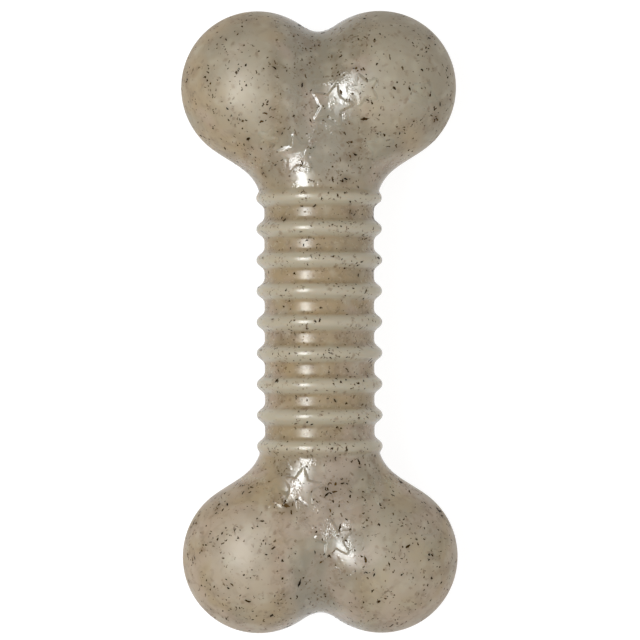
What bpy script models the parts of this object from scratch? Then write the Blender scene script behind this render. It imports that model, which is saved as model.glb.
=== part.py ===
"""A moulded nylon chew bone with dark flakes of filler set flush into its skin.

The bone lies flat on four small round lands, one under each lobe. Its long axis is Y, X runs across the
two lobes of a knuckle and Z is up. The origin is on the surface that it lies on, under the middle of the
shaft. "Upper" is the +Y knuckle and "front" the +Z side, and left and right are as seen from the side that
is named. Lengths are in metres and angles in degrees.
"""

import math

import bmesh
import bpy
from mathutils import Matrix, Vector

MM = 0.001

# The two knuckles, each a pair of round lobes that melt into each other
LENGTH = 177.5 * MM
LOBE_DIAMETER = 43.6 * MM
LOBE_SPACING = 34.9 * MM
LOBE_BLEND = 7.1 * MM
LAND_DEPTH = 0.25 * MM

# The turned shaft and its rings of round-topped ribs. The ribs fill the length that the knuckles leave, each
# knuckle measured from the bone's end to the crest of its first rib.
KNUCKLE_LENGTH = 53.2 * MM
SHAFT_DIAMETER = 31.3 * MM
RIB_HEIGHT = 2.3 * MM
RIB_PITCH = 8.86 * MM
RIB_CREST_RADIUS = 1.75 * MM
RIB_ROOT_RADIUS = 1.9 * MM
RIB_FLANK_ANGLE = 50.0

# The round neck that carries on from the end rib into each knuckle, a little thicker than the grooves
NECK_ABOVE_SHAFT = 0.7 * MM
NECK_END_BEFORE_LOBES = 11.7 * MM
NECK_BLEND = 13.6 * MM
RIB_NECK_BLEND = 1.0 * MM

# The flakes, each in a pocket of its own outline
FLAKE_THICKNESS = 0.8 * MM
FLAKE_STANDS_PROUD = 0.05 * MM
FLAKE_CLEARANCE = 0.15 * MM
FLAKE_SHOULDER = 0.55

# Each lobe's flakes as they lie on the front: (right, up, length, width, turn). Right and up are from the
# lobe's own centre as shares of its radius, length and width are in millimetres, and the turn is from the
# X axis.
LOBE_FLAKES = {
    "upper_left": [
        (-0.13, 0.22, 1.1, 0.7, 65),
        (-0.59, 0.0, 0.9, 0.6, 40),
        (-0.11, -0.71, 1.6, 1.0, 55),
        (0.59, -0.03, 1.5, 0.6, 85),
        (-0.37, -0.33, 1.0, 0.6, 140),
    ],
    "upper_right": [
        (-0.21, -0.47, 2.9, 1.0, 6),
        (-0.32, 0.18, 0.9, 0.8, 30),
        (0.17, -0.08, 1.5, 0.8, 145),
        (-0.51, -0.13, 1.7, 0.8, 105),
        (0.53, 0.16, 1.1, 0.7, 150),
        (0.70, -0.47, 1.4, 0.6, 60),
    ],
    "lower_left": [
        (0.53, -0.29, 3.2, 0.8, 68),
        (-0.13, -0.51, 2.3, 0.7, 160),
        (-0.38, -0.34, 1.0, 0.7, 150),
        (-0.46, 0.36, 1.0, 0.6, 70),
        (0.17, -0.71, 1.6, 1.0, 35),
        (0.43, 0.63, 1.7, 0.6, 95),
    ],
    "lower_right": [
        (-0.22, 0.02, 2.0, 1.0, 95),
        (-0.05, -0.52, 1.3, 1.0, 50),
        (0.63, -0.23, 1.1, 0.7, 110),
        (0.24, -0.17, 0.9, 0.6, 30),
        (-0.67, 0.65, 1.4, 0.6, 110),
    ],
}

# The flakes between the ribs: (gap counted from the lower end, angle round the shaft from the front towards
# the right, length, width, turn)
SHAFT_FLAKES = [
    (7, -15, 0.9, 0.6, 20),
    (2, 29, 1.2, 0.5, 140),
    (1, 16, 1.4, 0.6, 125),
    (4, -40, 0.9, 0.6, 150),
]

# How finely the skin is divided
POINTS_ROUND = 40
KNUCKLE_RINGS = 26
RIB_CREST_STEPS = 3
CROWD_ON_LOBES = 0.25
BISECTIONS = 40

NYLON_COLOUR = (0.36, 0.30, 0.215, 1.0)
NYLON_ROUGHNESS = 0.28
FLAKE_COLOUR = (0.035, 0.022, 0.012, 1.0)
FLAKE_ROUGHNESS = 0.55

LOBE_RADIUS = LOBE_DIAMETER / 2
SHAFT_RADIUS = SHAFT_DIAMETER / 2
RIB_RADIUS = SHAFT_RADIUS + RIB_HEIGHT
NECK_RADIUS = SHAFT_RADIUS + NECK_ABOVE_SHAFT
AXIS_HEIGHT = LOBE_RADIUS - LAND_DEPTH
LOBE_STATION = LENGTH / 2 - LOBE_RADIUS
NECK_STATION = LOBE_STATION - NECK_END_BEFORE_LOBES
GAP_COUNT = int((LENGTH - 2 * KNUCKLE_LENGTH) / RIB_PITCH)
END_RIB_STATION = RIB_PITCH * GAP_COUNT / 2
FRONT = Vector((0, 0, 1))


def smooth_least(a, b, blend):
    """The lesser of two distances, with the corner where they are equal rounded over a width of blend."""
    overlap = max(blend - abs(a - b), 0.0) / blend
    return min(a, b) - overlap * overlap * blend / 4


def rib_half_profile():
    """(distance from the crest's middle, radius) from crest to groove: crest arc, straight flank, root arc.

    The crest arc starts with a narrow level top.
    """
    flank = math.radians(RIB_FLANK_ANGLE)
    crest_angles = [flank * step / RIB_CREST_STEPS for step in range(1, RIB_CREST_STEPS + 1)]
    crest = [
        (RIB_CREST_RADIUS * math.sin(angle), RIB_RADIUS - RIB_CREST_RADIUS * (1 - math.cos(angle)))
        for angle in crest_angles
    ]
    crest_end, flank_top = crest[-1]
    root_run = RIB_ROOT_RADIUS * math.sin(flank)
    flank_foot = SHAFT_RADIUS + RIB_ROOT_RADIUS * (1 - math.cos(flank))
    flank_end = crest_end + (flank_top - flank_foot) / math.tan(flank)
    level_top = (crest[0][0], RIB_RADIUS)
    return [level_top, *crest[1:], (flank_end, flank_foot), (flank_end + root_run, SHAFT_RADIUS)]


RIB_PROFILE = rib_half_profile()
RIB_HALF_WIDTH = RIB_PROFILE[-1][0]
JOIN_STATION = END_RIB_STATION + RIB_HALF_WIDTH


def rib_radius(from_crest):
    """The turned radius at a distance from the nearest rib's crest."""
    if from_crest <= RIB_PROFILE[0][0]:
        return RIB_RADIUS
    for (near, high), (far, low) in zip(RIB_PROFILE, RIB_PROFILE[1:]):
        if from_crest <= far:
            return high + (low - high) * (from_crest - near) / (far - near)
    return SHAFT_RADIUS


def knuckle_distance(point):
    """How far a point, taken from the bone's axis with Y positive, is outside the upper knuckle and its neck."""
    lobes = [
        (point - Vector((side * LOBE_SPACING / 2, LOBE_STATION, 0))).length - LOBE_RADIUS
        for side in (-1, 1)
    ]
    past_neck = max(point.y - NECK_STATION, 0.0)
    neck = Vector((point.x, past_neck, point.z)).length - NECK_RADIUS
    return smooth_least(smooth_least(*lobes, LOBE_BLEND), neck, NECK_BLEND)


def end_distance(point):
    """The knuckle's distance, with the outer flank of the end rib melted into the neck."""
    from_axis = math.hypot(point.x, point.z)
    rib = from_axis - rib_radius(point.y - END_RIB_STATION)
    return smooth_least(knuckle_distance(point), rib, RIB_NECK_BLEND)


def surface_along(start, direction, distance_from):
    """The point where a ray from inside the bone leaves it."""
    inside, outside = 0.0, LENGTH
    for _ in range(BISECTIONS):
        middle = (inside + outside) / 2
        if distance_from(start + direction * middle) < 0:
            inside = middle
        else:
            outside = middle
    return start + direction * inside


def surface_normal(point, distance_from):
    """The outward direction at a point of the surface."""
    step = 0.01 * MM
    axes = (Vector((step, 0, 0)), Vector((0, step, 0)), Vector((0, 0, step)))
    return Vector(
        [distance_from(point + a) - distance_from(point - a) for a in axes]
    ).normalized()


def round_the_axis(turn):
    return Vector((math.cos(turn), 0, math.sin(turn)))


def turns(crowding):
    """The angles of a ring's points. Crowding draws them towards the two lobes."""
    even = [2 * math.pi * i / POINTS_ROUND for i in range(POINTS_ROUND)]
    return [turn - crowding * math.sin(2 * turn) for turn in even]


def turned_rings():
    """The plain turned rings of the shaft, from the lower end rib's crest to the upper one's."""
    stations = [i * RIB_PITCH - END_RIB_STATION for i in range(GAP_COUNT + 1)]
    profile = []
    for low, high in zip(stations, stations[1:]):
        profile += [(low + along, radius) for along, radius in RIB_PROFILE]
        profile += [(high - along, radius) for along, radius in reversed(RIB_PROFILE)]
    return [
        [round_the_axis(turn) * radius + Vector((0, y, 0)) for turn in turns(0)] for y, radius in profile
    ]


def neck_rings():
    """The rings on the outer flank of the upper end rib, where it runs out into the neck."""
    return [
        [
            surface_along(Vector((0, END_RIB_STATION + along, 0)), round_the_axis(turn), end_distance)
            for turn in turns(0)
        ]
        for along, _ in RIB_PROFILE
    ]


def knuckle_rings(last_neck_ring):
    """The upper knuckle's rings, from the neck to the notch, on rays that fan out from its middle."""
    middle = Vector((0, LOBE_STATION, 0))
    widest = [math.pi - math.atan2(math.hypot(p.x, p.z), middle.y - p.y) for p in last_neck_ring]
    rings = []
    for k in range(1, KNUCKLE_RINGS):
        share = 1 - k / KNUCKLE_RINGS
        crowding = CROWD_ON_LOBES * math.sin(math.pi * k / KNUCKLE_RINGS)
        rings.append([])
        for most, turn in zip(widest, turns(crowding)):
            tilt = most * share
            ray = round_the_axis(turn) * math.sin(tilt) + Vector((0, math.cos(tilt), 0))
            rings[-1].append(surface_along(middle, ray, knuckle_distance))
    return rings


def mirrored(rings):
    """The same rings at the other end of the bone, in the order from the lower end up."""
    return [[Vector((p.x, -p.y, p.z)) for p in ring] for ring in reversed(rings)]


def skin(mesh, rings, lower_tip, upper_tip):
    """A closed skin over rings that run up the Y axis, ending in a point at each end."""
    loops = [[mesh.verts.new(p) for p in ring] for ring in rings]
    for low, high in zip(loops, loops[1:]):
        for i in range(POINTS_ROUND):
            j = (i + 1) % POINTS_ROUND
            mesh.faces.new((low[i], high[i], high[j], low[j]))
    low_tip, high_tip = mesh.verts.new(lower_tip), mesh.verts.new(upper_tip)
    for i in range(POINTS_ROUND):
        j = (i + 1) % POINTS_ROUND
        mesh.faces.new((low_tip, loops[0][i], loops[0][j]))
        mesh.faces.new((high_tip, loops[-1][j], loops[-1][i]))
    bmesh.ops.recalc_face_normals(mesh, faces=mesh.faces)


def cut_lands(mesh):
    """Levels the lobes where they touch the surface below, and closes the four round lands."""
    whole = mesh.verts[:] + mesh.edges[:] + mesh.faces[:]
    bmesh.ops.bisect_plane(
        mesh, geom=whole, plane_co=(0, 0, -AXIS_HEIGHT), plane_no=(0, 0, -1), clear_outer=True
    )
    rims = [edge for edge in mesh.edges if edge.is_boundary]
    bmesh.ops.holes_fill(mesh, edges=rims, sides=0)
    bmesh.ops.recalc_face_normals(mesh, faces=mesh.faces)


def material(name, colour, roughness):
    made = bpy.data.materials.new(name)
    made.use_nodes = True
    shader = made.node_tree.nodes["Principled BSDF"]
    shader.inputs["Base Color"].default_value = colour
    shader.inputs["Roughness"].default_value = roughness
    shader.inputs["Metallic"].default_value = 0.0
    return made


def add_object(name, mesh, finish):
    """A new object from a bmesh, smooth except at its corners."""
    data = bpy.data.meshes.new(name)
    mesh.to_mesh(data)
    mesh.free()
    data.shade_smooth()
    data.set_sharp_from_angle(angle=math.radians(40))
    data.materials.append(finish)
    made = bpy.data.objects.new(name, data)
    bpy.context.scene.collection.objects.link(made)
    return made


def add_body(finish):
    """The nylon moulding, with its axis at the height that lets it lie on its lands."""
    neck = neck_rings()
    upper_end = neck + knuckle_rings(neck[-1])
    middle = Vector((0, LOBE_STATION, 0))
    notch = surface_along(middle, Vector((0, 1, 0)), knuckle_distance)
    mesh = bmesh.new()
    rings = mirrored(upper_end) + turned_rings() + upper_end
    skin(mesh, rings, Vector((0, -notch.y, 0)), notch)
    cut_lands(mesh)
    body = add_object("nylon_body", mesh, finish)
    body.location.z = AXIS_HEIGHT
    return body


def lobe_seat(lobe, right, up):
    """The point and outward direction on a lobe's front where a flake lies, from the bone's axis."""
    end = 1 if lobe.startswith("upper") else -1
    side = 1 if lobe.endswith("right") else -1
    centre = Vector((side * LOBE_SPACING / 2, LOBE_STATION, 0))
    below = centre + Vector((right, end * up, 0)) * LOBE_RADIUS
    point = surface_along(below, FRONT, knuckle_distance)
    normal = surface_normal(point, knuckle_distance)
    at_end = Vector((1, end, 1))
    return point * at_end, normal * at_end


def shaft_seat(gap, angle):
    """The same in the groove between two ribs."""
    normal = round_the_axis(math.radians(90 - angle))
    station = gap * RIB_PITCH - END_RIB_STATION + RIB_PITCH / 2
    return normal * SHAFT_RADIUS + Vector((0, station, 0)), normal


def flake_mesh(length, width, bottom, top):
    """A six-sided splinter, pointed at both ends, between two heights."""
    half, shoulder = length / 2, length / 2 * FLAKE_SHOULDER
    outline = [
        (half, 0),
        (shoulder, width / 2),
        (-shoulder, width / 2),
        (-half, 0),
        (-shoulder, -width / 2),
        (shoulder, -width / 2),
    ]
    mesh = bmesh.new()
    face = mesh.faces.new([mesh.verts.new((x, y, bottom)) for x, y in outline])
    grown = bmesh.ops.extrude_face_region(mesh, geom=[face])["geom"]
    raised = [v for v in grown if isinstance(v, bmesh.types.BMVert)]
    bmesh.ops.translate(mesh, verts=raised, vec=(0, 0, top - bottom))
    bmesh.ops.recalc_face_normals(mesh, faces=mesh.faces)
    return mesh


def flake_place(point, normal, turn):
    """Where a flake lies: its Z along the normal, and its length turned from the X axis along the skin."""
    across = Vector((1, 0, 0)) - normal * normal.x
    along = Matrix.Rotation(math.radians(turn), 3, normal) @ across.normalized()
    axes = Matrix((along, normal.cross(along), normal)).transposed().to_4x4()
    return Matrix.Translation(point + Vector((0, 0, AXIS_HEIGHT))) @ axes


def flake_list():
    """(name, place, length, width) of every flake. The back's are the front's, with the bone turned over."""
    turned_over = Matrix.Rotation(math.pi, 3, "Y")
    seats = []
    for lobe, flakes in LOBE_FLAKES.items():
        for number, (right, up, length, width, turn) in enumerate(flakes, 1):
            seats.append((lobe, number, *lobe_seat(lobe, right, up), length, width, turn))
    for number, (gap, angle, length, width, turn) in enumerate(SHAFT_FLAKES, 1):
        if gap < GAP_COUNT:
            seats.append(("shaft", number, *shaft_seat(gap, angle), length, width, turn))
    found = []
    for where, number, point, normal, length, width, turn in seats:
        for side, moved in (("front", Matrix.Identity(3)), ("back", turned_over)):
            place = flake_place(moved @ point, moved @ normal, turn)
            found.append((f"flake_{where}_{side}_{number}", place, length * MM, width * MM))
    return found


def add_flakes(body, finish):
    """The flakes, and one hidden cutter that sinks a pocket for each of them in the body."""
    pockets = bmesh.new()
    for name, place, length, width in flake_list():
        mesh = flake_mesh(length, width, FLAKE_STANDS_PROUD - FLAKE_THICKNESS, FLAKE_STANDS_PROUD)
        flake = add_object(name, mesh, finish)
        flake.matrix_world = place
        wider = 2 * FLAKE_CLEARANCE
        floor = FLAKE_STANDS_PROUD - FLAKE_THICKNESS - FLAKE_CLEARANCE
        pocket = flake_mesh(length + wider, width + wider, floor, FLAKE_THICKNESS)
        pocket.transform(place)
        single = bpy.data.meshes.new("pocket")
        pocket.to_mesh(single)
        pocket.free()
        pockets.from_mesh(single)
        bpy.data.meshes.remove(single)
        flake.parent = body.parent
    cutter = add_object("flake_pockets", pockets, finish)
    cutter.hide_render = True
    cutter.display_type = "WIRE"
    cutter.parent = body.parent
    sink = body.modifiers.new("flake pockets", "BOOLEAN")
    sink.operation = "DIFFERENCE"
    sink.object = cutter


def main():
    for old in list(bpy.data.objects):
        bpy.data.objects.remove(old)
    bone = bpy.data.objects.new("chew_bone", None)
    bpy.context.scene.collection.objects.link(bone)
    body = add_body(material("nylon", NYLON_COLOUR, NYLON_ROUGHNESS))
    body.parent = bone
    add_flakes(body, material("flake", FLAKE_COLOUR, FLAKE_ROUGHNESS))


main()
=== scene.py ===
"""The looks of a moulded nylon chew bone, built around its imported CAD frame."""
import math

import bpy
import numpy as np
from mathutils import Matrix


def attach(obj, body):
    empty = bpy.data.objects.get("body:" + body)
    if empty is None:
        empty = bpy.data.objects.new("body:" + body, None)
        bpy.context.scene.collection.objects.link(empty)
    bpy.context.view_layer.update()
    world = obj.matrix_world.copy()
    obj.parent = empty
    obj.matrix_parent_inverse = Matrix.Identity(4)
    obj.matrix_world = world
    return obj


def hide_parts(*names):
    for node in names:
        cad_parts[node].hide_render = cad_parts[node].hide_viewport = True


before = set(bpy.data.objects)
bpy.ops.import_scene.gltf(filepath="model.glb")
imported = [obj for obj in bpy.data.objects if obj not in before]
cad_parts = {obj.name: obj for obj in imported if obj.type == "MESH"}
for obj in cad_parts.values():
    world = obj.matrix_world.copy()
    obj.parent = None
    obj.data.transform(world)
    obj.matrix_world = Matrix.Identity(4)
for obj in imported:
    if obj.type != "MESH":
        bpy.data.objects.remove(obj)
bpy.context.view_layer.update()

# Camera
# The bone is seen from straight above through a long lens, with its upper knuckle at the top of the frame.
# The shot leans by a fraction of a degree, and the bone lies a hair below the frame's middle.
MM = 0.001
axis_height = 21.55 * MM
frame_width = 182.9 * MM
camera_distance = 900 * MM
camera_right = 0.17 * MM
camera_up = 0.57 * MM
camera_lean = math.radians(-0.2)
sensor_width = 36.0
bpy.ops.object.select_all(action="DESELECT")
bpy.ops.object.camera_add(location=(camera_right, camera_up, axis_height + camera_distance))
camera = bpy.context.object
camera.rotation_euler = (0, 0, camera_lean)
camera.data.sensor_width = sensor_width
camera.data.lens = sensor_width * camera_distance / frame_width
camera.data.dof.use_dof = False
bpy.context.scene.camera = camera

# Nylon body
# One solid injection moulding of translucent tan nylon: two lobes at each end melt into a neck, and the
# shaft between the necks has nine round-topped ribs. It cools with a gloss and lies on four small flats.
lobe_radius = 21.8 * MM
lobe_side = 17.45 * MM
lobe_station = 66.95 * MM
lobe_blend = 7.1 * MM
neck_radius = 16.35 * MM
neck_station = 55.25 * MM
neck_blend = 13.6 * MM
groove_radius = 15.65 * MM
rib_height = 2.3 * MM
rib_pitch = 8.86 * MM
rib_gaps = 8
crest_radius = 1.75 * MM
root_radius = 1.9 * MM
rib_flank = math.radians(50)
rib_neck_blend = 1.0 * MM
end_rib = rib_pitch * rib_gaps / 2
crest_run = crest_radius * math.sin(rib_flank)
root_run = root_radius * math.sin(rib_flank)
flank_drop = rib_height - (crest_radius + root_radius) * (1 - math.cos(rib_flank))
flank_run = flank_drop / math.tan(rib_flank)
rib_half_width = crest_run + flank_run + root_run
join_station = end_rib + rib_half_width
past_skin = 120 * MM
halvings = 40


def smooth_least(a, b, blend):
    """The lesser of two distances, melted into each other where they are alike."""
    overlap = np.maximum(blend - np.abs(a - b), 0) / blend
    return np.minimum(a, b) - overlap * overlap * blend / 4


def knuckle_distance(p):
    """How far points of the upper half, taken from the bone's axis, are outside its knuckle and neck."""
    x, y, z = np.abs(p[:, 0]), p[:, 1], p[:, 2]
    near = np.sqrt((x - lobe_side) ** 2 + (y - lobe_station) ** 2 + z**2) - lobe_radius
    far = np.sqrt((x + lobe_side) ** 2 + (y - lobe_station) ** 2 + z**2) - lobe_radius
    neck = np.sqrt(x**2 + np.maximum(y - neck_station, 0) ** 2 + z**2) - neck_radius
    return smooth_least(smooth_least(near, far, lobe_blend), neck, neck_blend)


def to_crest(station):
    """How far along the shaft stations are from the crest of the nearest rib."""
    return (station + rib_pitch / 2) % rib_pitch - rib_pitch / 2


def turned_radius(from_crest):
    """The ribbed shaft's radius at distances from the nearest crest: crest arc, flank, root arc, groove."""
    rib_radius = groove_radius + rib_height
    d = np.abs(from_crest)
    crest = rib_radius - crest_radius + np.sqrt(np.maximum(crest_radius**2 - d**2, 0))
    flank_top = rib_radius - crest_radius * (1 - math.cos(rib_flank))
    flank = flank_top - (d - crest_run) * math.tan(rib_flank)
    to_root = np.clip(rib_half_width - d, 0, root_run)
    root = groove_radius + root_radius - np.sqrt(root_radius**2 - to_root**2)
    return np.where(d < crest_run, crest, np.where(d < crest_run + flank_run, flank, root))


def end_distance(p):
    """The same as knuckle_distance, with the outer flank of the end rib melted into the neck."""
    rib = np.hypot(p[:, 0], p[:, 2]) - turned_radius(p[:, 1] - end_rib)
    return smooth_least(knuckle_distance(p), rib, rib_neck_blend)


def leave_skin(start, ray, distance):
    """The points where rays from inside the bone come out through its skin."""
    inside = np.zeros(len(ray))
    outside = np.full(len(ray), past_skin)
    for _ in range(halvings):
        middle = (inside + outside) / 2
        within = distance(start + ray * middle[:, None]) < 0
        inside, outside = np.where(within, middle, inside), np.where(within, outside, middle)
    return start + ray * inside[:, None]


def on_axis(station):
    """The points of the bone's axis at stations along it."""
    return np.stack([np.zeros_like(station), station, np.zeros_like(station)], 1)


def round_axis(turn):
    """The ways straight out from the bone's axis, at turns about it."""
    return np.stack([np.cos(turn), np.zeros_like(turn), np.sin(turn)], 1)


def points_of(piece):
    """The places of a piece's mesh points."""
    points = np.empty(len(piece.data.vertices) * 3)
    piece.data.vertices.foreach_get("co", points)
    return points.reshape(-1, 3)


points_round = 270
rings_along = 350
knuckle_rings = 90
lobe_crowding = 0.25
bpy.ops.object.select_all(action="DESELECT")
bpy.ops.mesh.primitive_uv_sphere_add(
    segments=points_round, ring_count=rings_along, radius=1, rotation=(-math.pi / 2, 0, 0)
)
body = bpy.context.object
body.name = "nylon_skin"
bpy.ops.object.transform_apply(rotation=True)
ball = points_of(body)
turn = np.arctan2(ball[:, 2], ball[:, 0])
share = np.arccos(np.clip(np.abs(ball[:, 1]), -1, 1)) / math.pi
end = np.where(ball[:, 1] < 0, -1.0, 1.0)

# The sphere's rings near its poles fan out from each knuckle's middle, and the rest become the turned shaft
knuckle_share = knuckle_rings / rings_along
middle_share = 0.5
ring = np.clip(share / knuckle_share, 0, 1)
join_ring = leave_skin(on_axis(np.full_like(turn, join_station)), round_axis(turn), end_distance)
join_radius = np.hypot(join_ring[:, 0], join_ring[:, 2])
widest = math.pi - np.arctan2(join_radius, lobe_station - join_station)
crowded = turn - lobe_crowding * np.sin(2 * turn) * np.sin(math.pi * ring)
tilt = widest * ring
fan = round_axis(crowded) * np.sin(tilt)[:, None]
fan[:, 1] = np.cos(tilt)
knuckle = leave_skin(np.array([0, lobe_station, 0]), fan, knuckle_distance)
station = join_station * np.clip((middle_share - share) / (middle_share - knuckle_share), 0, 1)
along = on_axis(station)
shaft = along + round_axis(turn) * turned_radius(to_crest(station))[:, None]
run_out = leave_skin(along, round_axis(turn), end_distance)
skin = np.where((station > end_rib)[:, None], run_out, shaft)
skin = np.where((share < knuckle_share)[:, None], knuckle, skin)
skin[:, 1] *= end
skin[:, 2] = np.maximum(skin[:, 2] + axis_height, 0)
body.data.vertices.foreach_set("co", skin.ravel())
body.data.update()
bpy.ops.object.shade_smooth()


def mark_points(piece, name, values):
    """Gives each mesh point of a piece a number that its material reads by name."""
    mark = piece.data.attributes.new(name, "FLOAT", "POINT")
    mark.data.foreach_set("value", values)


# Painted light: the thin ribs are painted paler than the grooves, for the light that comes through them,
# and more so on their lower flanks, which the painted light lifts out of their shade.
pale_from = groove_radius + 0.6 * MM
pale_all = groove_radius + 1.35 * MM
pale_ends = end_rib + 3 * MM
pale_shift = 0.4 * MM
shaft_radius = np.hypot(skin[:, 0], skin[:, 2] - axis_height)
shaft_radius = np.maximum(shaft_radius, turned_radius(to_crest(skin[:, 1] + pale_shift)))
risen = np.clip((shaft_radius - pale_from) / (pale_all - pale_from), 0, 1)
ribbed = np.clip((pale_ends - np.abs(skin[:, 1])) / (pale_ends - end_rib), 0, 1)
mark_points(body, "thinness", risen * ribbed)

# The necks are glossiest and the lobes' crowns dullest. The shaft lies between, with its crests less dull
matte_from = 8 * MM
matte_all = 15.5 * MM
shaft_matte = 0.4
crest_gloss = 0.2


def mark_matte(piece, points, shaft_share):
    """Marks how dull a piece's points are, by their place on the knuckles and a share for the shaft."""
    sideways = np.clip((np.abs(points[:, 0]) - matte_from) / (matte_all - matte_from), 0, 1)
    endways = np.clip((np.abs(points[:, 1]) - end_rib) / (neck_station - end_rib), 0, 1)
    mark_points(piece, "matte", sideways * endways + shaft_share)


mark_matte(body, skin, shaft_matte * ribbed * (1 - crest_gloss * risen))


def new_material(name):
    """A new material, with its node tree and its shader."""
    made = bpy.data.materials.new(name)
    made.use_nodes = True
    shader = made.node_tree.nodes["Principled BSDF"]
    return made, made.node_tree, shader


def add_node(tree, kind, settings=None, **inputs):
    """A node with its settings and its inputs, each a value or another node's output.

    An input without a name of its own is given by its number, after an underscore.
    """
    made = tree.nodes.new("ShaderNode" + kind)
    for name, value in (settings or {}).items():
        setattr(made, name, value)
    for name, value in inputs.items():
        socket = made.inputs[int(name[1:])] if name[1:].isdigit() else made.inputs[name]
        if isinstance(value, bpy.types.NodeSocket):
            tree.links.new(value, socket)
        else:
            socket.default_value = value
    return made


def marked(tree, name):
    """The number that each mesh point was marked with under a name."""
    return add_node(tree, "Attribute", {"attribute_name": name}).outputs["Fac"]


def vector_math(tree, operation, a, b=None, scale=None):
    inputs = {"_0": a}
    if b is not None:
        inputs["_1"] = b
    if scale is not None:
        inputs["Scale"] = scale
    made = add_node(tree, "VectorMath", {"operation": operation}, **inputs)
    return made.outputs["Value" if operation == "LENGTH" else "Vector"]


def plain_math(tree, operation, a, b=0.0):
    return add_node(tree, "Math", {"operation": operation}, _0=a, _1=b).outputs[0]


def band(tree, value, low, high, bottom=0.0, top=1.0):
    """A value's smooth climb from bottom at low to top at high."""
    made = add_node(
        tree, "MapRange", {"interpolation_type": "SMOOTHSTEP"},
        Value=value, _1=low, _2=high, _3=bottom, _4=top,
    )
    return made.outputs[0]


def noise(tree, place, size, detail=2.0, swirl=0.0):
    """Cloudy noise whose clouds are about one size across."""
    made = add_node(tree, "TexNoise", Vector=place, Scale=1 / size, Detail=detail, Distortion=swirl)
    return made.outputs[0]


def mix_colour(tree, factor, a, b):
    made = add_node(tree, "Mix", {"data_type": "RGBA"}, _0=factor, _6=a, _7=b)
    return made.outputs[2]


nylon, tree, shader = new_material("nylon_with_filler")
place = add_node(tree, "TexCoord").outputs["Object"]
across, lengthways, upwards = add_node(tree, "SeparateXYZ", Vector=place).outputs
off_axis = plain_math(tree, "ABSOLUTE", across)
from_middle = plain_math(tree, "ABSOLUTE", lengthways)

# The tan melt drifts to olive in clouds and up the bone, and to slate in the webs between the lobes. Its
# drift to a darker olive towards the right is painted shade, away from the lamps on the left.
tan = (0.335, 0.256, 0.152, 1)
olive = (0.276, 0.234, 0.162, 1)
slate = (0.165, 0.160, 0.122, 1)
drift_size = 22 * MM
drift_swirl = 0.4
painted_shade_drift_right = 2.6
drift_up = 0.6
olive_range = (0.36, 0.60)
web_sides = (3 * MM, 14 * MM)
web_stations = (36 * MM, 46 * MM)
web_drift = 0.12
web_slate = 2.2
olive_drift_and_painted_shade = noise(tree, place, drift_size, detail=1.0, swirl=drift_swirl)
# Painted shade: greyer and darker towards the right, the side away from the lamps
olive_drift_and_painted_shade = plain_math(tree, "ADD", olive_drift_and_painted_shade, plain_math(tree, "MULTIPLY", across, painted_shade_drift_right))
web = band(tree, off_axis, *web_sides, web_drift, 0.0)
web = plain_math(tree, "MULTIPLY", web, band(tree, from_middle, *web_stations))
olive_drift_and_painted_shade = plain_math(tree, "ADD", olive_drift_and_painted_shade, web)
olive_drift_and_painted_shade = plain_math(tree, "ADD", olive_drift_and_painted_shade, plain_math(tree, "MULTIPLY", lengthways, drift_up))
colour = mix_colour(tree, band(tree, olive_drift_and_painted_shade, *olive_range), tan, olive)
colour = mix_colour(tree, plain_math(tree, "MULTIPLY", web, web_slate), colour, slate)

# The shaft is ochre, and the lower end has a pink blush
ochre = (0.325, 0.240, 0.128, 1)
pink = (0.392, 0.308, 0.236, 1)
shaft_fade = (34 * MM, 44 * MM)
shaft_ochre = 0.6
blush_size = 14 * MM
blush_swirl = 0.6
blush_down = -1.6
blush_range = (0.46, 0.66)
blush_pink = 0.6
colour = mix_colour(tree, band(tree, from_middle, *shaft_fade, shaft_ochre, 0.0), colour, ochre)
rosier = noise(tree, place, blush_size, detail=1.0, swirl=blush_swirl)
rosier = plain_math(tree, "ADD", rosier, plain_math(tree, "MULTIPLY", lengthways, blush_down))
colour = mix_colour(tree, band(tree, rosier, *blush_range, 0.0, blush_pink), colour, pink)

# Brown patches and smoke come off the filler, and milky clouds hang between them
brown = (0.20, 0.147, 0.088, 1)
milky_and_painted_light = (0.43, 0.386, 0.29, 1)
patch_size = 2.6 * MM
patch_swirl = 0.8
patch_range = (0.5, 0.72)
patch_brown = 0.4
cluster_size = 6 * MM
smoke_range = (0.46, 0.76)
smoke_brown = 0.5
cloud_size = 5 * MM
cloud_range = (0.52, 0.75)
cloud_milk = 0.4
patches = noise(tree, place, patch_size, swirl=patch_swirl)
colour = mix_colour(tree, band(tree, patches, *patch_range, 0.0, patch_brown), colour, brown)
smoke = noise(tree, place, cluster_size)
colour = mix_colour(tree, band(tree, smoke, *smoke_range, 0.0, smoke_brown), colour, brown)
clouds = noise(tree, place, cloud_size, detail=1.0)
colour = mix_colour(tree, band(tree, clouds, *cloud_range, 0.0, cloud_milk), colour, milky_and_painted_light)

# The nylon is stained around the filler. The lobes' high crowns get a painted milky sheen, as of the light
# overhead, and the ribs get the painted light that comes through them.
stained = (0.17, 0.112, 0.055, 1)
stain_strength = 0.55
crown_matte = (0.5, 1.0)
crown_heights = (33 * MM, 43 * MM)
crown_painted_sheen = 0.38
rib_painted_light = 0.88
stain = plain_math(tree, "MULTIPLY", marked(tree, "stain"), stain_strength)
colour = mix_colour(tree, stain, colour, stained)
dull = marked(tree, "matte")
# Painted sheen: the dull crowns, high up, turn milky as if lit from overhead
crown = band(tree, upwards, *crown_heights, 0.0, crown_painted_sheen)
crown = plain_math(tree, "MULTIPLY", band(tree, dull, *crown_matte), crown)
colour = mix_colour(tree, crown, colour, milky_and_painted_light)
# Painted light: the ribs are painted paler where light would come through them
thin = plain_math(tree, "MULTIPLY", marked(tree, "thinness"), rib_painted_light)
colour = mix_colour(tree, thin, colour, milky_and_painted_light)

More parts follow.
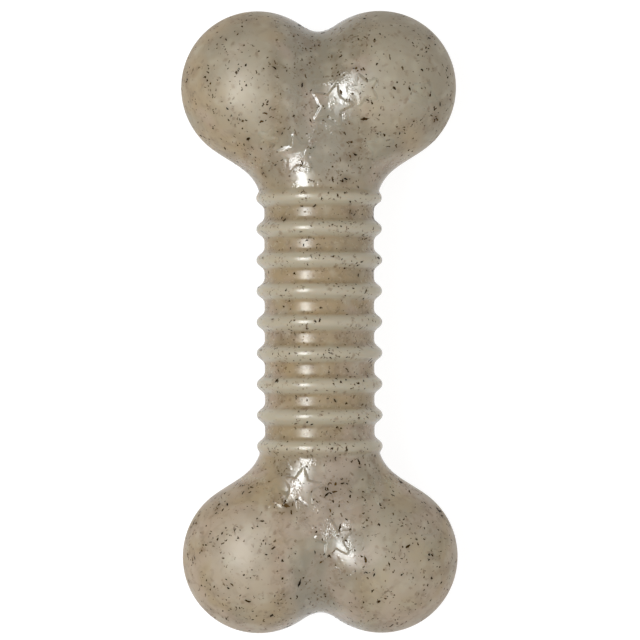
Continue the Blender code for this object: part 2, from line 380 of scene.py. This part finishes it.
# Slivers and specks of filler, some sharp in the skin and some blurred below it
fleck_spin = 40.0
fleck_shrink = (0.7, 1.8)
cluster_range = (0.35, 0.65)
cluster_thinnest = 0.15
cluster_thickest = 1.85
sunk_share = 0.7
sunk_faintest = 0.45


def flecks(tree, place, spacing, length, width, share, softness):
    """A mask of slivers stirred into the melt: one to a cell, each of its own turn, size and depth."""
    scaled = vector_math(tree, "SCALE", place, scale=1 / spacing)
    cells = add_node(tree, "TexVoronoi", Vector=scaled, Scale=1.0)
    chance = add_node(tree, "SeparateColor", Color=cells.outputs["Color"])
    local = vector_math(tree, "SUBTRACT", scaled, cells.outputs["Position"])
    spin = vector_math(tree, "SCALE", cells.outputs["Color"], scale=fleck_spin)
    turned = add_node(tree, "VectorRotate", {"rotation_type": "EULER_XYZ"}, Vector=local, Rotation=spin)
    stretch = (2 * spacing / length, 2 * spacing / width, 2 * spacing / width)
    out = vector_math(tree, "LENGTH", vector_math(tree, "MULTIPLY", turned.outputs[0], stretch))
    sized = plain_math(tree, "MULTIPLY", out, band(tree, chance.outputs[0], 0.0, 1.0, *fleck_shrink))
    edge = band(tree, sized, 1 - softness, 1 + softness, 1.0, 0.0)
    middle = vector_math(tree, "SCALE", cells.outputs["Position"], scale=spacing)
    thinnest = cluster_thinnest * share
    thickest = cluster_thickest * share
    gathered = band(tree, noise(tree, middle, cluster_size), *cluster_range, thinnest, thickest)
    chosen = plain_math(tree, "LESS_THAN", chance.outputs[1], gathered)
    depth = band(tree, chance.outputs[2], 0.0, sunk_share, sunk_faintest, 1.0)
    return plain_math(tree, "MULTIPLY", plain_math(tree, "MULTIPLY", edge, depth), chosen)


blurred_brown = (0.15, 0.082, 0.034, 1)
blurred_strength = 0.45
fibre_brown = (0.10, 0.055, 0.016, 1)
fibre_strength = 0.75
fleck_brown = (0.085, 0.042, 0.008, 1)
fleck_black = (0.012, 0.005, 0.0005, 1)
black_hardness = 4.0
ragged_size = 0.6 * MM
ragged_shake = 0.9 * MM
half_grey = (0.5, 0.5, 0.5)
ragged = add_node(tree, "TexNoise", Vector=place, Scale=1 / ragged_size, Detail=2.0)
shake = vector_math(tree, "SUBTRACT", ragged.outputs["Color"], half_grey)
rough_place = vector_math(tree, "ADD", place, vector_math(tree, "SCALE", shake, scale=ragged_shake))
blurred = flecks(
    tree, rough_place, spacing=2.2 * MM, length=2.6 * MM, width=0.75 * MM, share=0.7, softness=0.6
)
fibres = flecks(
    tree, rough_place, spacing=2.4 * MM, length=2.8 * MM, width=0.32 * MM, share=0.75, softness=0.3
)
specks = flecks(
    tree, rough_place, spacing=1.2 * MM, length=1.3 * MM, width=0.36 * MM, share=0.44, softness=0.45
)
slivers = flecks(
    tree, rough_place, spacing=1.8 * MM, length=2.1 * MM, width=0.42 * MM, share=0.42, softness=0.4
)
colour = mix_colour(tree, plain_math(tree, "MULTIPLY", blurred, blurred_strength), colour, blurred_brown)
colour = mix_colour(tree, plain_math(tree, "MULTIPLY", fibres, fibre_strength), colour, fibre_brown)
dark = plain_math(tree, "MAXIMUM", specks, slivers)
colour = mix_colour(tree, dark, colour, fleck_brown)
colour = mix_colour(tree, plain_math(tree, "POWER", dark, black_hardness), colour, fleck_black)
tree.links.new(colour, shader.inputs["Base Color"])

# The mould leaves fine pimples and shallow waves, and handling scuffs the glossy nylon in patches
pimple_size = 0.7 * MM
pimple_height = 0.035 * MM
wave_size = 4.5 * MM
wave_height = 0.15 * MM
mould_strength = 0.25
graze_size = 4 * MM
graze_range = (0.48, 0.62)
graze_matte = (0.0, 0.35)
scuff_size = 0.45 * MM
scuff_height = 0.12 * MM
scuff_strength = 1.0
pimples = noise(tree, place, pimple_size)
pimpled = add_node(tree, "Bump", Strength=mould_strength, Distance=pimple_height, Height=pimples)
wavy = add_node(
    tree, "Bump", Strength=mould_strength, Distance=wave_height,
    Height=noise(tree, place, wave_size), Normal=pimpled.outputs[0],
)
grazed = band(tree, noise(tree, place, graze_size), *graze_range)
grazed = plain_math(tree, "MULTIPLY", grazed, band(tree, dull, *graze_matte, 1.0, 0.0))
scuffs = plain_math(tree, "MULTIPLY", noise(tree, place, scuff_size, detail=1.0), grazed)
scuffed = add_node(
    tree, "Bump", Strength=scuff_strength, Distance=scuff_height,
    Height=scuffs, Normal=wavy.outputs[0],
)
tree.links.new(scuffed.outputs[0], shader.inputs["Normal"])

# The nylon shines and lets light in, and the filler in it does neither
gloss_size = 1.1 * MM
gloss_range = (0.3, 0.7)
gloss_roughness = (0.05, 0.13)
matte_roughness = 0.38
nylon_ior = 1.53
nylon_shine = 0.9
shine_matte = (0.0, 0.4)
matte_shine = 0.6
light_share = 0.4
light_depth = 2.0 * MM
light_colours = (1.0, 0.65, 0.4)
gloss = noise(tree, place, gloss_size, detail=3.0)
roughness = band(tree, gloss, *gloss_range, *gloss_roughness)
roughness = plain_math(tree, "ADD", roughness, plain_math(tree, "MULTIPLY", dull, matte_roughness))
tree.links.new(roughness, shader.inputs["Roughness"])
shader.inputs["IOR"].default_value = nylon_ior
shader.inputs["Specular IOR Level"].default_value = nylon_shine
shine = band(tree, dark, 0.0, 1.0, nylon_shine, 0.0)
shine = plain_math(tree, "MULTIPLY", shine, band(tree, dull, *shine_matte, 1.0, matte_shine))
tree.links.new(shine, shader.inputs["Specular IOR Level"])
tree.links.new(band(tree, dark, 0.0, 1.0, light_share, 0.0), shader.inputs["Subsurface Weight"])
shader.inputs["Subsurface Radius"].default_value = light_colours
shader.inputs["Subsurface Scale"].default_value = light_depth
body.data.materials.append(nylon)
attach(body, "root")
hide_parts("nylon_body")

# Raised stars
# Plain five-pointed stars stand a third of a millimetre proud of the knuckles, front and back. They are
# part of the moulding, cut into the mould's face, so their edges are soft and a little uneven, and they
# follow the skin.
star_tips = 5
star_height = 0.34 * MM
star_waist = 0.45
star_edge = 0.8 * MM
star_foot = 0.3 * MM
star_unevenness = 0.1 * MM
star_waves = (5, 8)
star_wear = 0.35
star_segments = 90
star_search = 3
plateau_rings = 3
edge_rings = 9
bottom_rings = 3
star_rings = plateau_rings + edge_rings + bottom_rings
draw_seed = 11

# Each star's place right and up of the bone's middle and its reach in millimetres, its turn and boldness
stars = [
    (-6.1, 47.1, 5.6, 100, 1.0),
    (3.6, 60.6, 6.1, 75, 0.9),
    (12.6, 64.9, 4.4, 110, 0.6),
    (17.3, 49.1, 3.6, 95, 0.5),
    (29.3, 63.4, 4.0, 60, 0.4),
    (-5.5, -46.3, 5.6, 80, 1.0),
    (17.3, -47.1, 4.1, 113, 0.6),
    (3.9, -60.9, 5.2, 100, 0.9),
    (-12.4, -49.0, 3.2, 90, 0.6),
    (32.4, -62.4, 4.2, 75, 0.4),
    (-14.2, 51.2, 2.8, 70, 0.6),
]


def skin_height(x, y):
    """How high the front of a knuckle is above points of the floor."""
    below = np.stack([x, np.abs(y), np.zeros_like(x)], 1)
    straight_up = np.tile([0.0, 0.0, 1.0], (len(x), 1))
    return leave_skin(below, straight_up, knuckle_distance)[:, 2] + axis_height


def star_reach(turn, out, reach):
    """How far from its middle a star's edge lies, at turns from a point and a way out from its outline."""
    half = math.pi / star_tips
    folded = np.abs((turn + half) % (2 * half) - half)
    waist = star_waist * reach * np.array([math.cos(half), math.sin(half)])
    edge = np.array([reach, 0]) - waist
    edge /= np.linalg.norm(edge)
    facing = np.array([-edge[1], edge[0]])
    ray = np.stack([np.cos(folded), np.sin(folded)], 1)
    inside, outside = np.zeros_like(turn), np.full_like(turn, star_search * reach)
    for _ in range(halvings):
        middle = (inside + outside) / 2
        from_point = ray * middle[:, None] - np.array([reach, 0])
        past_point = from_point @ edge > 0
        gap = np.where(past_point, np.linalg.norm(from_point, axis=1), from_point @ facing)
        within = gap < out
        inside, outside = np.where(within, middle, inside), np.where(within, outside, middle)
    return inside


draw = np.random.RandomState(draw_seed)
star_pieces = []
for right, up, reach, turned, boldness in stars:
    bpy.ops.object.select_all(action="DESELECT")
    bpy.ops.mesh.primitive_uv_sphere_add(segments=star_segments, ring_count=star_rings + 1, radius=1)
    star = bpy.context.object
    ball = points_of(star)
    turn = np.arctan2(ball[:, 1], ball[:, 0])
    ring = np.round(np.arccos(np.clip(ball[:, 2], -1, 1)) / math.pi * (star_rings + 1))
    climb = np.clip((ring - plateau_rings) / (edge_rings - 1), 0, 1)
    phases = draw.uniform(0, 2 * math.pi, 3)
    waves = np.sin(star_waves[0] * turn + phases[0]) + np.sin(star_waves[1] * turn + phases[1])
    way_out = climb * star_edge + star_unevenness * waves * (ring > 0)
    outline = star_reach(turn - math.radians(turned), way_out, reach * MM - star_edge / 2)
    inner = np.clip(ring / plateau_rings, 0, 1)
    below = np.clip((star_rings + 1 - ring) / (bottom_rings + 1), 0, 1)
    spread = outline * inner * below
    worn = star_wear * (1 - spread / (reach * MM) * np.cos(turn - phases[2]))
    rise = boldness * star_height * (1 - worn) * (1 - climb * climb * (3 - 2 * climb))
    rise -= star_foot * (ring >= plateau_rings + edge_rings)
    flat = np.stack([right * MM + spread * np.cos(turn), up * MM + spread * np.sin(turn)], 1)
    top = skin_height(flat[:, 0], flat[:, 1]) + rise
    front = np.stack([flat[:, 0], flat[:, 1], top], 1)
    star.data.vertices.foreach_set("co", front.ravel())
    star_pieces.append(star)
    turned_over = front * np.array([-1, 1, -1]) + np.array([0, 0, 2 * axis_height])
    if turned_over[:, 2].min() > star_height:
        back = star.copy()
        back.data = star.data.copy()
        bpy.context.collection.objects.link(back)
        back.data.vertices.foreach_set("co", turned_over.ravel())
        star_pieces.append(back)


def join_pieces(pieces, name):
    """Several pieces made one, under a name of its own."""
    bpy.ops.object.select_all(action="DESELECT")
    for piece in pieces:
        piece.select_set(True)
    bpy.context.view_layer.objects.active = pieces[0]
    bpy.ops.object.join()
    bpy.context.object.name = name
    return bpy.context.object


raised_stars = join_pieces(star_pieces, "raised_stars")
bpy.ops.object.shade_smooth()
raised_stars.data.materials.append(nylon)
mark_matte(raised_stars, points_of(raised_stars), 0.0)
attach(raised_stars, "root")

# Flakes
# The largest slivers of bark-like filler lie flush in pockets of the skin, bonded in as the nylon cooled.
# They are torn, dark brown and fibrous, and stand a few hundredths of a millimetre proud.
splinter_proud = 0.04 * MM
splinter_depth = 0.2 * MM
torn_edge = (0.55, 1.05)
curl_most = 0.15
curl_middle = 0.3
blank_depth = 1
seating_rounds = 4
slope_step = 0.05 * MM
flake_points = 22


def skin_gap(p):
    """How far points, taken from the bone's axis, are outside its skin, all over the bone."""
    folded = np.stack([p[:, 0], np.abs(p[:, 1]), p[:, 2]], 1)
    turned = np.hypot(p[:, 0], p[:, 2]) - turned_radius(to_crest(folded[:, 1]))
    beyond_shaft = np.where(folded[:, 1] > neck_station, knuckle_distance(folded), end_distance(folded))
    return np.where(folded[:, 1] > end_rib, beyond_shaft, turned)


def outward(p):
    """The way out of the skin at points, taken from the bone's axis."""
    steps = slope_step * np.eye(3)
    slope = np.stack([skin_gap(p + step) - skin_gap(p - step) for step in steps], 1)
    return slope / np.linalg.norm(slope, axis=1)[:, None]


def splinter_blank(points):
    """A disc with that many points around, from which splinters are torn."""
    bpy.ops.object.select_all(action="DESELECT")
    bpy.ops.mesh.primitive_circle_add(vertices=points, radius=1, fill_type="TRIFAN")
    blank = bpy.context.object
    bpy.ops.object.mode_set(mode="EDIT")
    bpy.ops.mesh.select_all(action="SELECT")
    bpy.ops.mesh.extrude_region_move(TRANSFORM_OT_translate={"value": (0, 0, -blank_depth)})
    bpy.ops.mesh.select_all(action="SELECT")
    bpy.ops.mesh.normals_make_consistent(inside=False)
    bpy.ops.object.mode_set(mode="OBJECT")
    return blank


def tear(blank, points, middle, along, out, length, width, draw):
    """A copy of a blank, torn to a splinter, curled a little and laid in the skin."""
    splinter = blank.copy()
    splinter.data = blank.data.copy()
    bpy.context.collection.objects.link(splinter)
    disc = points_of(splinter)
    step = np.round(np.arctan2(disc[:, 1], disc[:, 0]) / (2 * math.pi) * points).astype(int) % points
    torn = draw.uniform(*torn_edge, points)[step]
    curl = draw.uniform(-curl_most, curl_most)
    ends = disc[:, 0] * torn * length / 2
    sides = disc[:, 1] * torn * width / 2 + curl * length * ((disc[:, 0] * torn) ** 2 - curl_middle)
    spot = middle + ends[:, None] * along + sides[:, None] * np.cross(out, along)
    height = np.where(disc[:, 2] < -blank_depth / 2, -splinter_depth, splinter_proud)
    for _ in range(seating_rounds):
        spot -= (skin_gap(spot) - height)[:, None] * out
    spot[:, 2] = np.maximum(spot[:, 2] + axis_height, 0)
    splinter.data.vertices.foreach_set("co", spot.ravel())
    mark_points(splinter, "shade", np.full(len(disc), draw.uniform()))
    return splinter


flake_names = sorted(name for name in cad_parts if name.startswith("flake_"))
flake_blank = splinter_blank(flake_points)
flake_splinters = []
stain_spots = []
for name in flake_names:
    corners = points_of(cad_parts[name])
    corners[:, 2] -= axis_height
    middle = corners.mean(0)
    out = outward(middle[None])[0]
    spread = corners - middle
    spread -= np.outer(spread @ out, out)
    along = np.linalg.eigh(spread.T @ spread)[1][:, 2]
    length = np.ptp(spread @ along)
    width = np.ptp(spread @ np.cross(out, along))
    flake_splinters.append(tear(flake_blank, flake_points, middle, along, out, length, width, draw))
    stain_spots.append((middle, length))
bpy.data.objects.remove(flake_blank)
flakes = join_pieces(flake_splinters, "torn_flakes")

bark_dark = (0.012, 0.006, 0.001, 1)
bark_light = (0.085, 0.045, 0.012, 1)
bark_range = (0.3, 0.8)
bark_roughness = 0.4
bark_shine = 0.05
grain_size = 0.5 * MM
bark, tree, shader = new_material("dark_filler")
place = add_node(tree, "TexCoord").outputs["Object"]
grain = noise(tree, place, grain_size, detail=3.0)
tone = plain_math(tree, "MULTIPLY", plain_math(tree, "ADD", grain, marked(tree, "shade")), 0.5)
tone = mix_colour(tree, band(tree, tone, *bark_range), bark_dark, bark_light)
tree.links.new(tone, shader.inputs["Base Color"])
shader.inputs["Roughness"].default_value = bark_roughness
shader.inputs["Specular IOR Level"].default_value = bark_shine
flakes.data.materials.append(bark)
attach(flakes, "root")
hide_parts(*flake_names)

# Chips
# Smaller slivers and crumbs of the same filler lie flat in the skin, in loose trains and clusters where the
# melt's flow left them. They are bonded in like the flakes.
chip_clusters = 190
chip_followers = 1.8
chip_scatter = 1.3 * MM
chip_points = 11
chip_length = 0.95 * MM
chip_length_spread = 0.4
shortest_chip = 0.5 * MM
longest_chip = 2.4 * MM
chip_slimness = (0.25, 0.55)
narrowest_chip = 0.3 * MM
chip_tries = 6000
chip_shell = 1 * MM
chip_floor_gap = 1 * MM
landing_rounds = 6
low_corner, high_corner = skin.min(0), skin.max(0)
tries = draw.uniform(low_corner, high_corner, (chip_tries, 3)) - np.array([0, 0, axis_height])
start = tries[np.abs(skin_gap(tries)) < chip_shell][:chip_clusters]
start = np.repeat(start, 1 + draw.poisson(chip_followers, chip_clusters), axis=0)
middle = start + draw.normal(0, chip_scatter, start.shape)
for _ in range(landing_rounds):
    middle -= skin_gap(middle)[:, None] * outward(middle)
out = outward(middle)
along = np.cross(out, draw.normal(0, 1, start.shape))
along /= np.linalg.norm(along, axis=1)[:, None]
length = chip_length * np.exp(draw.normal(0, chip_length_spread, len(start)))
length = np.clip(length, shortest_chip, longest_chip)
width = np.maximum(length * draw.uniform(*chip_slimness, len(start)), narrowest_chip)
chip_blank = splinter_blank(chip_points)
chip_splinters = []
for i in range(len(start)):
    if middle[i, 2] + axis_height > chip_floor_gap:
        chip = tear(chip_blank, chip_points, middle[i], along[i], out[i], length[i], width[i], draw)
        chip_splinters.append(chip)
        stain_spots.append((middle[i], length[i]))
bpy.data.objects.remove(chip_blank)
chips = join_pieces(chip_splinters, "filler_chips")
chips.data.materials.append(bark)
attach(chips, "root")

# The melt is stained around the larger pieces of filler
stain_reach = 0.9 * MM
full_stain_length = 2 * MM
stained_by = np.zeros(len(skin))
from_axis = skin - np.array([0, 0, axis_height])
for middle, length in stain_spots:
    away = ((from_axis - middle) ** 2).sum(1)
    stained_by += np.minimum(length / full_stain_length, 1) * np.exp(-away / (2 * stain_reach**2))
mark_points(body, "stain", np.minimum(stained_by, 1))

# Floor and light
# The bone lies on a white light table in a white cloth tent, which glows most low down and overhead. High
# on the left hang a wide softbox that lights the bone and a strip softbox that makes the gloss on it.
floor_size = 4000 * MM
floor_grey = (0.25, 0.25, 0.25, 1)
floor_roughness = 0.9
floor_glow = 0.86
white = (1, 1, 1, 1)
bpy.ops.object.select_all(action="DESELECT")
bpy.ops.mesh.primitive_plane_add(size=floor_size)
floor = bpy.context.object
floor.name = "white_floor"
light_table, tree, shader = new_material("white_light_table")
shader.inputs["Base Color"].default_value = floor_grey
shader.inputs["Roughness"].default_value = floor_roughness
shader.inputs["Emission Color"].default_value = white
shader.inputs["Emission Strength"].default_value = floor_glow
floor.data.materials.append(light_table)
floor.visible_glossy = False

# The tent's glow by direction: low and high walls, each from left to right and far to near, and the top
low_left = 0.85
low_right = 0.73
low_nearer = 0.12
high_left = 0.33
high_right = 0.68
high_nearer = 0.10
wall_range = (-0.75, -0.1)
overhead_range = (0.75, 0.98)
overhead_glow = 0.4
world = bpy.data.worlds.new("white_tent")
world.use_nodes = True
tree = world.node_tree
looking = add_node(tree, "TexCoord").outputs["Generated"]
right, away, up = add_node(tree, "SeparateXYZ", Vector=looking).outputs
low_walls = band(tree, right, -1.0, 1.0, low_left, low_right)
low_walls = plain_math(tree, "SUBTRACT", low_walls, plain_math(tree, "MULTIPLY", away, low_nearer))
high_walls = band(tree, right, -1.0, 1.0, high_left, high_right)
high_walls = plain_math(tree, "SUBTRACT", high_walls, plain_math(tree, "MULTIPLY", away, high_nearer))
walls = band(tree, up, *wall_range, low_walls, high_walls)
overhead = band(tree, up, *overhead_range, 0.0, overhead_glow)
glow = plain_math(tree, "ADD", walls, overhead)
tree.links.new(glow, tree.nodes["Background"].inputs["Strength"])
tree.nodes["Background"].inputs["Color"].default_value = white
bpy.context.scene.world = world
bpy.context.scene.view_settings.view_transform = "Standard"

# The wide softbox doesn't show in the gloss, and the strip shows only there
softbox_tilt = math.radians(-30)
fill_place = (-300 * MM, 0, 520 * MM)
fill_width = 350 * MM
fill_length = 540 * MM
fill_watts = 2.2
strip_place = (-189 * MM, 30 * MM, 366 * MM)
strip_width = 330 * MM
strip_length = 600 * MM
strip_watts = 3.8
strip_white = (0.95, 0.99, 1.0)


def softbox(place, width, length, watts):
    """An area light, tilted from the left towards the bone."""
    bpy.ops.object.light_add(type="AREA", location=place, rotation=(0, softbox_tilt, 0))
    light = bpy.context.object
    light.data.shape = "RECTANGLE"
    light.data.size = width
    light.data.size_y = length
    light.data.energy = watts
    return light


fill = softbox(fill_place, fill_width, fill_length, fill_watts)
fill.visible_glossy = False
strip = softbox(strip_place, strip_width, strip_length, strip_watts)
strip.visible_diffuse = False
strip.data.color = strip_white

# The strip's cloth glows dimly and fades towards its edges, with the bright tube behind it down its middle
cloth_fade = (0.1, 0.5)
cloth_glow = 0.6
tube_fade = (0.05, 0.22)
tube_glow = 1.5
cloth_middle = 0.5
strip.data.use_nodes = True
tree = strip.data.node_tree
on_cloth = add_node(tree, "SeparateXYZ", Vector=add_node(tree, "NewGeometry").outputs["Parametric"])
off_tube, off_half_way = [
    plain_math(tree, "ABSOLUTE", plain_math(tree, "SUBTRACT", way, cloth_middle))
    for way in on_cloth.outputs[:2]
]
cloth = band(tree, off_tube, *cloth_fade, cloth_glow, 0.0)
tube = band(tree, off_tube, *tube_fade, tube_glow, 0.0)
lit = plain_math(tree, "ADD", cloth, tube)
lit = plain_math(tree, "MULTIPLY", lit, band(tree, off_half_way, *cloth_fade, 1.0, 0.0))
tree.links.new(lit, tree.nodes["Emission"].inputs["Strength"])
